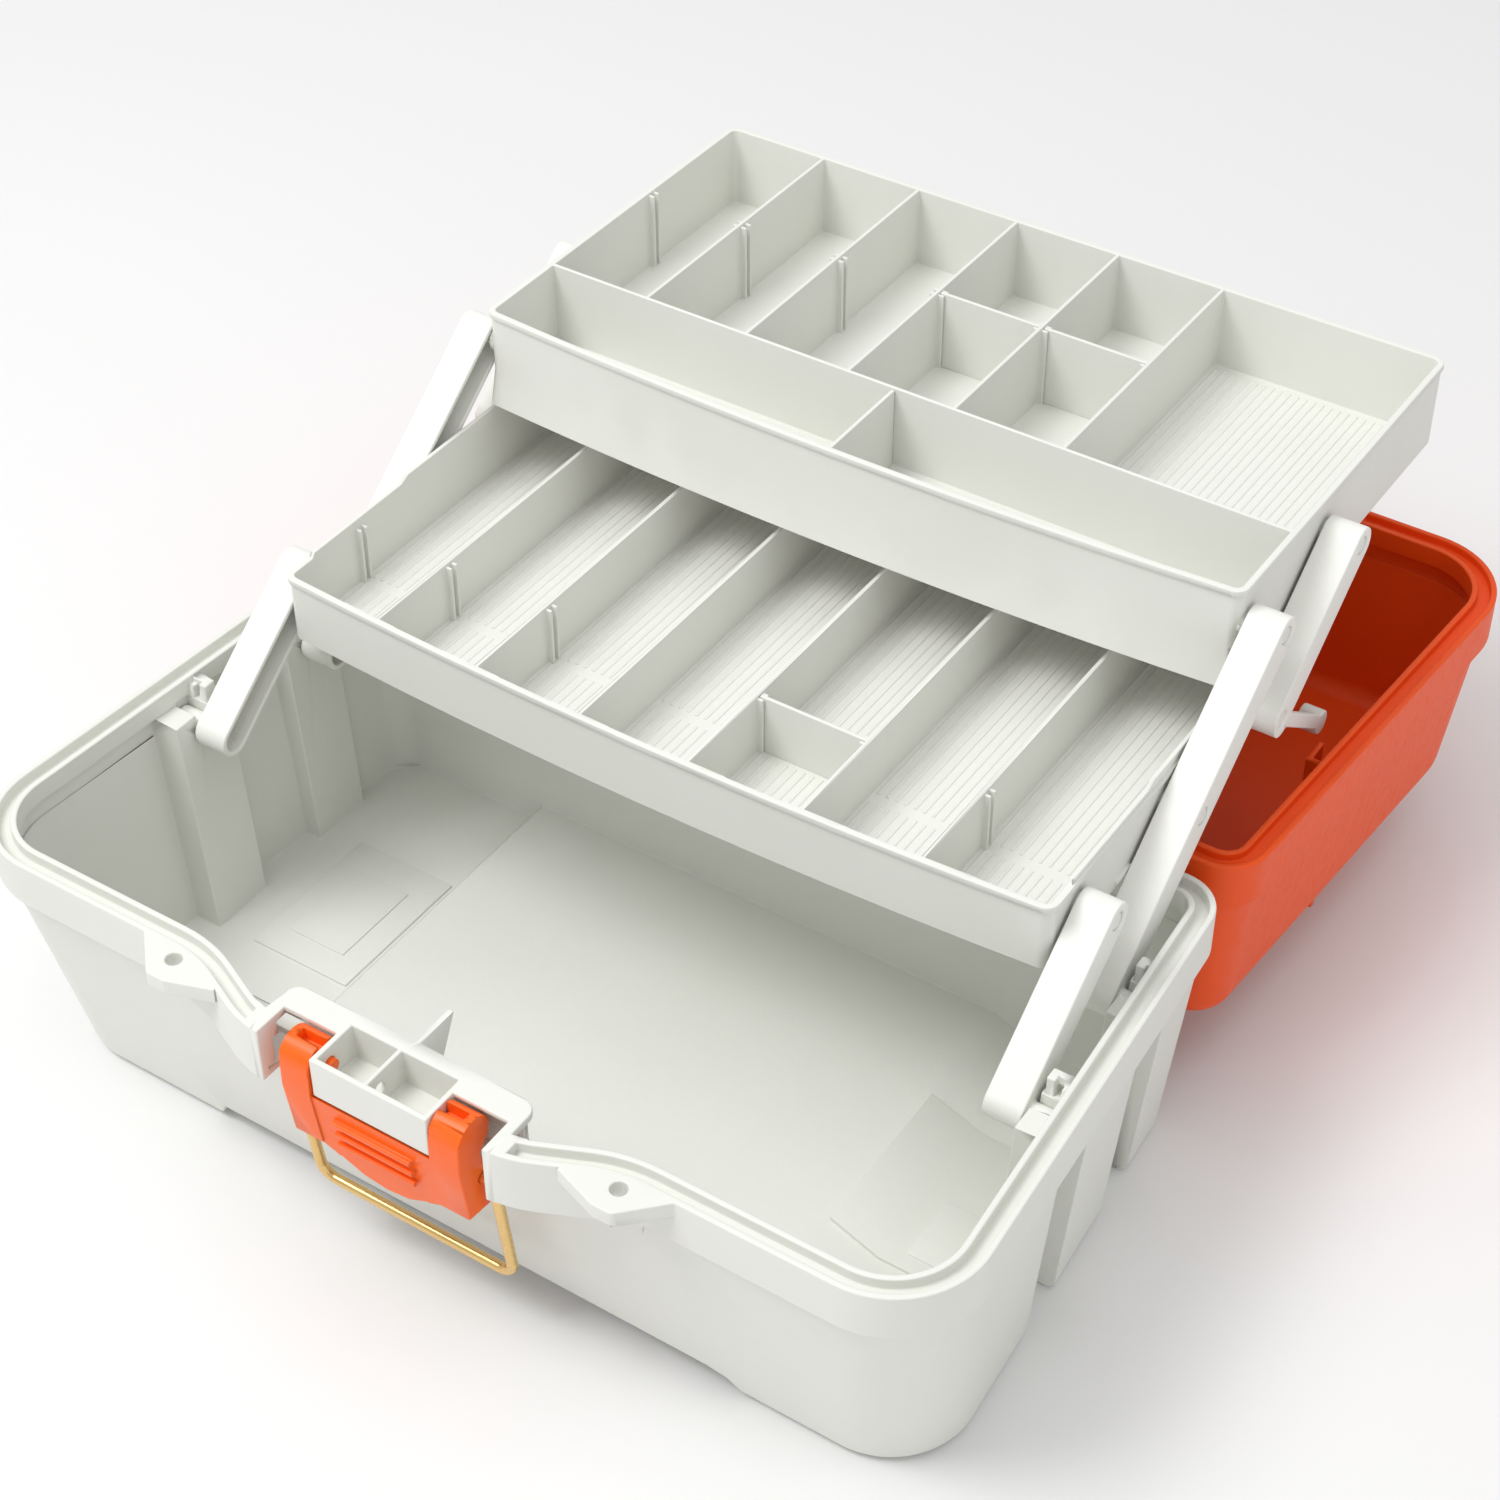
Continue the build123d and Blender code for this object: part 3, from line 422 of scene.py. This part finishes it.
def flat_patches(work):
    """A patch number for each face: neighbouring faces in one plane share it."""
    patch = [-1] * len(work.faces)
    for seed in work.faces:
        if patch[seed.index] >= 0:
            continue
        patch[seed.index] = seed.index
        queue = [seed]
        while queue:
            face = queue.pop()
            for edge in face.edges:
                for other in edge.link_faces:
                    if patch[other.index] < 0 and face.normal.angle(other.normal, pi) < FLAT:
                        patch[other.index] = seed.index
                        queue.append(other)
    return patch


def patch_outlines(work, patch):
    """Each patch's outline, as an array of its edges' two ends."""
    outlines = {}
    for edge in work.edges:
        sides = {patch[face.index] for face in edge.link_faces}
        if len(sides) > 1:
            ends = [list(vertex.co) for vertex in edge.verts]
            for side in sides:
                outlines.setdefault(side, []).append(ends)
    return {side: np.array(ends) for side, ends in outlines.items()}


def room_across(face, edge, outline):
    """The least that a patch reaches inwards from five places along one of its edges."""
    loop = next(corner for corner in face.loops if corner.edge == edge)
    start, end = loop.vert.co, loop.link_loop_next.vert.co
    along = (end - start).normalized()
    inward = face.normal.cross(along)
    x = (outline - np.array(start)) @ np.array(along)
    y = (outline - np.array(start)) @ np.array(inward)
    room = NO_ROOM_SOUGHT
    for share in PLACES_ALONG:
        at = share * (end - start).length
        hit = (x[:, 0] < at) != (x[:, 1] < at)
        if hit.any():
            x0, x1, y0, y1 = x[hit, 0], x[hit, 1], y[hit, 0], y[hit, 1]
            reach = y0 + (y1 - y0) * (at - x0) / (x1 - x0)
            reach = reach[reach > SMALLEST_ROOM]
            if len(reach):
                room = min(room, reach.min())
    return room


def mark_corners(work, width):
    """Gives full bevel weight to each sharp edge whose two patches have room for it."""
    weight = work.edges.layers.float.get("bevel_weight_edge")
    if weight is None:
        weight = work.edges.layers.float.new("bevel_weight_edge")
    patch = flat_patches(work)
    outlines = patch_outlines(work, patch)
    count = 0
    for edge in work.edges:
        if len(edge.link_faces) != 2 or edge.calc_face_angle(0.0) < CORNER:
            continue
        rooms = [room_across(face, edge, outlines[patch[face.index]]) for face in edge.link_faces]
        if min(rooms) > ROOM_SHARE * width:
            edge[weight] = 1.0
            count += 1
    return count


def softened(node, width, segments=2):
    """A copy of a solid with rounded corners, width in metres."""
    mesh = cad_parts[node].data.copy()
    mesh.materials.clear()
    obj = bpy.data.objects.new(node + "_soft", mesh)
    bpy.context.scene.collection.objects.link(obj)
    work = bmesh.new()
    work.from_mesh(mesh)
    bmesh.ops.remove_doubles(work, verts=work.verts, dist=JOIN)
    work.faces.ensure_lookup_table()
    work.faces.index_update()
    count = mark_corners(work, width)
    work.to_mesh(mesh)
    work.free()
    bevel = obj.modifiers.new("soft_edge", "BEVEL")
    bevel.width = width
    bevel.segments = segments
    bevel.limit_method = "WEIGHT"
    bevel.use_clamp_overlap = False
    bevel.loop_slide = False
    bake_modifiers(obj)
    obj.data.shade_smooth()
    obj.data.set_sharp_from_angle(angle=KEEP_SHARP)
    flatten = obj.modifiers.new("flat_faces", "WEIGHTED_NORMAL")
    flatten.mode = "FACE_AREA"
    flatten.weight = 100
    flatten.keep_sharp = True
    bake_modifiers(obj)
    print(obj.name, count, "soft edges,", len(obj.data.polygons), "faces")
    return obj


# %% What each softened piece rides on, and its finish and edge width in millimetres
NODES_ON = {
    "base": ["base_tub"],
    "lid": ["lid_shell"],
    "handle": ["carry_handle"],
    "upper_tray": ["upper_tray", "upper_divider_1", "upper_divider_2", "upper_divider_3"],
    "lower_tray": ["lower_tray", "lower_divider_1"],
    "front_arm_left": ["front_arm_left"],
    "front_arm_right": ["front_arm_right"],
    "long_arm_left": ["long_arm_left"],
    "long_arm_right": ["long_arm_right"],
    "upper_arm_left": ["upper_arm_left"],
    "upper_arm_right": ["upper_arm_right"],
    "lever": ["latch_lever"],
    "bail": ["latch_bail"],
}
BODY_OF = {node: body for body, nodes in NODES_ON.items() for node in nodes}
SOFT_EDGES = {
    "base_tub": ("tub_plastic", 0.55),
    "lid_shell": ("lid_plastic", 0.55),
    "upper_tray": ("tray_plastic", 0.35),
    "lower_tray": ("tray_plastic", 0.35),
    "upper_divider_1": ("tray_plastic", 0.3),
    "upper_divider_2": ("tray_plastic", 0.3),
    "upper_divider_3": ("tray_plastic", 0.3),
    "lower_divider_1": ("tray_plastic", 0.3),
    "front_arm_left": ("arm_plastic", 0.6),
    "front_arm_right": ("arm_plastic", 0.6),
    "long_arm_left": ("arm_plastic", 0.6),
    "long_arm_right": ("arm_plastic", 0.6),
    "upper_arm_left": ("arm_plastic", 0.6),
    "upper_arm_right": ("arm_plastic", 0.6),
    "latch_lever": ("latch_plastic", 0.6),
    "carry_handle": ("handle_plastic", 0.5),
    "latch_bail": ("brass_wire", 0.3),
}

# %% Soften the pieces
for node, (finish, width) in SOFT_EDGES.items():
    piece = softened(node, width * MM)
    piece.data.materials.append(finishes[finish])
    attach(piece, BODY_OF[node])
    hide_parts(node)

# %% [markdown]
# ## Ribs on the tray floors
# Each long compartment has fine ribs moulded along its floor, so that small tackle is easy to
# pick up.  Dozens of equal ribs are work for Geometry Nodes: a line along the front of each
# compartment is divided at an even pitch, a half-sunk round bar is set on every division, and
# the copies are made real.  One tree serves both trays, each row with its own length.


# %% The rib tree
RIB_PITCH = 3.2 * MM
RIB_RADIUS = 0.8 * MM


def build_rib_tree():
    """Geometry nodes that set a bar along Y at every step of the given lines."""
    tree = bpy.data.node_groups.new("floor_ribs", "GeometryNodeTree")
    tree.interface.new_socket(name="Lines", in_out="INPUT", socket_type="NodeSocketGeometry")
    for label, value in (("Pitch", RIB_PITCH), ("Rib length", 0.1), ("Rib radius", RIB_RADIUS)):
        socket = tree.interface.new_socket(name=label, in_out="INPUT", socket_type=FLOAT)
        socket.default_value = value
    tree.interface.new_socket(name="Finish", in_out="INPUT", socket_type="NodeSocketMaterial")
    tree.interface.new_socket(name="Ribs", in_out="OUTPUT", socket_type="NodeSocketGeometry")
    given = tree.nodes.new("NodeGroupInput")
    out = tree.nodes.new("NodeGroupOutput")
    lines = add_node(tree, "GeometryNodeMeshToCurve")
    steps = add_node(tree, "GeometryNodeResampleCurve", mode="LENGTH")
    run = add_node(tree, "ShaderNodeCombineXYZ")
    bar = add_node(tree, "GeometryNodeCurvePrimitiveLine")
    section = add_node(tree, "GeometryNodeCurvePrimitiveCircle", sockets={"Resolution": 8})
    solid = add_node(tree, "GeometryNodeCurveToMesh", sockets={"Fill Caps": True})
    copies = add_node(tree, "GeometryNodeInstanceOnPoints")
    real = add_node(tree, "GeometryNodeRealizeInstances")
    paint = add_node(tree, "GeometryNodeSetMaterial")
    link = tree.links.new
    link(given.outputs["Lines"], lines.inputs["Mesh"])
    link(lines.outputs["Curve"], steps.inputs["Curve"])
    link(given.outputs["Pitch"], steps.inputs["Length"])
    link(given.outputs["Rib length"], run.inputs["Y"])
    link(run.outputs["Vector"], bar.inputs["End"])
    link(given.outputs["Rib radius"], section.inputs["Radius"])
    link(bar.outputs["Curve"], solid.inputs["Curve"])
    link(section.outputs["Curve"], solid.inputs["Profile Curve"])
    link(steps.outputs["Curve"], copies.inputs["Points"])
    link(solid.outputs["Mesh"], copies.inputs["Instance"])
    link(copies.outputs["Instances"], real.inputs["Geometry"])
    link(real.outputs["Geometry"], paint.inputs["Geometry"])
    link(given.outputs["Finish"], paint.inputs["Material"])
    link(paint.outputs["Geometry"], out.inputs["Ribs"])
    return tree


rib_tree = build_rib_tree()
print("rib tree inputs:", [i.name for i in rib_tree.interface.items_tree if i.in_out == "INPUT"])


# %% Ribs in one row of compartments
def grow(name, tree, lines, values):
    """A mesh made by a tree from lines (pairs of points), with its inputs set by name."""
    points = [point for line in lines for point in line]
    mesh = bpy.data.meshes.new(name)
    mesh.from_pydata(points, [(i, i + 1) for i in range(0, len(points), 2)], [])
    obj = bpy.data.objects.new(name, mesh)
    bpy.context.scene.collection.objects.link(obj)
    nodes = obj.modifiers.new("nodes", "NODES")
    nodes.node_group = tree
    for item in tree.interface.items_tree:
        if item.in_out == "INPUT" and item.name in values:
            nodes[item.identifier] = values[item.name]
    bake_modifiers(obj)
    obj.data.shade_smooth()
    obj.data.set_sharp_from_angle(angle=radians(60))
    return obj


RIB_INSET = 2.6
RIB_SUNK = 0.35


def rib_row(name, body, walls, front, length, floor_z):
    """Ribs on the floor between each two neighbouring walls, all in millimetres."""
    y = front * MM
    z = (floor_z - RIB_SUNK) * MM
    lines = []
    for left, right in zip(walls, walls[1:]):
        lines.append((((left + RIB_INSET) * MM, y, z), ((right - RIB_INSET) * MM, y, z)))
    values = {
        "Pitch": RIB_PITCH,
        "Rib length": length * MM,
        "Rib radius": RIB_RADIUS,
        "Finish": finishes["tray_plastic"],
    }
    ribs = grow(name, rib_tree, lines, values)
    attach(ribs, body)
    print(name, len(ribs.data.polygons), "faces")
    return ribs


LOWER_WALLS = [-148.4, -109.2, -66.3, -23.4, 19.5, 62.4, 105.3, 148.4]
UPPER_END_WALLS = [64.0, 148.4]
LOWER_TRAY_FLOOR = 115.6
UPPER_TRAY_FLOOR = 152.1
rib_row("lower_ribs_back", "lower_tray", LOWER_WALLS, -34.5, 115.0, LOWER_TRAY_FLOOR)
rib_row("lower_ribs_front", "lower_tray", LOWER_WALLS, -70.0, 31.0, LOWER_TRAY_FLOOR)
rib_row("upper_ribs_end", "upper_tray", UPPER_END_WALLS, 85.0, 113.0, UPPER_TRAY_FLOOR)

# %% [markdown]
# ## Steps on the tub floor
# The tub's feet show inside as stepped panels near both ends of the floor, one with a smaller
# panel within it.  Each is a thin plate with rounded edges that follows the floor's slope, so
# its step is a real edge that catches the light.

# %% Floor plates
FLOOR_LINE = [
    (-175.0, 4.0),
    (-102.0, 4.0),
    (-96.0, 12.0),
    (101.0, 12.0),
    (121.0, 4.0),
    (175.0, 4.0),
]
PLATE_SUNK = 0.6
PLATE_EDGE = 0.5


def floor_height(x):
    """The tub floor's height at x, in millimetres."""
    for (x0, z0), (x1, z1) in zip(FLOOR_LINE, FLOOR_LINE[1:]):
        if x0 <= x <= x1:
            return z0 + (z1 - z0) * (x - x0) / (x1 - x0)
    return FLOOR_LINE[0][1]


def floor_plate(name, x0, x1, y0, y1, rise, rise_at_x1=None):
    """A plate on the tub floor between x0 and x1, standing proud of it by rise."""
    end_rise = rise if rise_at_x1 is None else rise_at_x1
    stations = sorted({x0, x1} | {x for x, _ in FLOOR_LINE if x0 < x < x1})
    points, faces = [], []
    for x in stations:
        share = (x - x0) / (x1 - x0)
        top = floor_height(x) + rise + (end_rise - rise) * share
        low = floor_height(x) - PLATE_SUNK
        points += [(x, y0, low), (x, y0, top), (x, y1, top), (x, y1, low)]
    for i in range(len(stations) - 1):
        a, b = 4 * i, 4 * i + 4
        for j in range(4):
            k = (j + 1) % 4
            faces.append((a + j, a + k, b + k, b + j))
    faces.append((3, 2, 1, 0))
    last = 4 * (len(stations) - 1)
    faces.append((last, last + 1, last + 2, last + 3))
    plate = add_mesh(name, [(x * MM, y * MM, z * MM) for x, y, z in points], faces)
    work = bmesh.new()
    work.from_mesh(plate.data)
    bmesh.ops.recalc_face_normals(work, faces=work.faces)
    work.to_mesh(plate.data)
    work.free()
    edge = plate.modifiers.new("soft_edge", "BEVEL")
    edge.width = PLATE_EDGE * MM
    edge.segments = 2
    edge.limit_method = "ANGLE"
    edge.angle_limit = CORNER
    bake_modifiers(plate)
    plate.data.shade_smooth()
    plate.data.set_sharp_from_angle(angle=KEEP_SHARP)
    plate.data.materials.append(finishes["tub_plastic"])
    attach(plate, "base")
    return plate


floor_plate("floor_plate_right", 102.0, 160.0, -120.0, -55.0, 1.6, 0.9)
floor_plate("floor_plate_right_small", 128.0, 158.0, -114.0, -88.0, 1.9)
floor_plate("floor_plate_left", -146.0, -103.0, -119.0, -57.0, 1.0)
floor_plate("floor_plate_left_small", -138.0, -113.0, -108.0, -70.0, 1.7)
print("floor plates: 4")

# %% [markdown]
# ## The hinge pins
# The lid turns on two straight steel pins.  A plain pin is already its own right shape, so
# both keep their solids and only get the steel.

# %% The hinge pins keep their solids
for node in ("hinge_pin_left", "hinge_pin_right"):
    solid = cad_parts[node]
    solid.data.materials.clear()
    solid.data.materials.append(finishes["steel_pin"])
    print(node, "is steel_pin")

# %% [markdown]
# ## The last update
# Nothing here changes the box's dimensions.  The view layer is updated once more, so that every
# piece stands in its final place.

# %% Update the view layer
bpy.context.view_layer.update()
